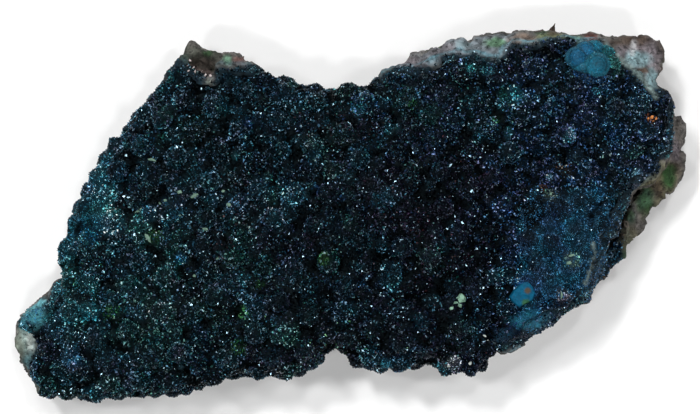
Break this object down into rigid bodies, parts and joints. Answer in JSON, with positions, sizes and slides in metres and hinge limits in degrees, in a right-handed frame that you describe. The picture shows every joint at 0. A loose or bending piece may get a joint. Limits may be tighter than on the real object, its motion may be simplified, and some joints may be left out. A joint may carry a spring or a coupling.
{
  "type": "cornetite specimen",
  "caption": "Natural mineral specimen: a broken slab of host rock with a dark blue-green crust of grown-together crystal balls over its face, lying on its flat back.",
  "frame": {"origin": "on the resting plane, under the middle of the specimen's bounding box", "axes": "+X along the slab's length, +Y up the crystal face as pictured, +Z out of the crystal face, away from the resting plane"},
  "size_m": [0.0808, 0.0458, 0.016],
  "materials": {
    "host_rock": "rough broken rock, grey-brown, with green and pale blue mineral stains",
    "cornetite": "druse of very small glossy crystals, dark blue to teal, with pinpoint glints",
    "chrysocolla": "fine-grained satin, mid blue"
  },
  "bodies": {
    "root": {"host_rock": "host_rock", "cornetite_crust": "cornetite", "chrysocolla_nodules": "chrysocolla"}
  },
  "joints": []
}
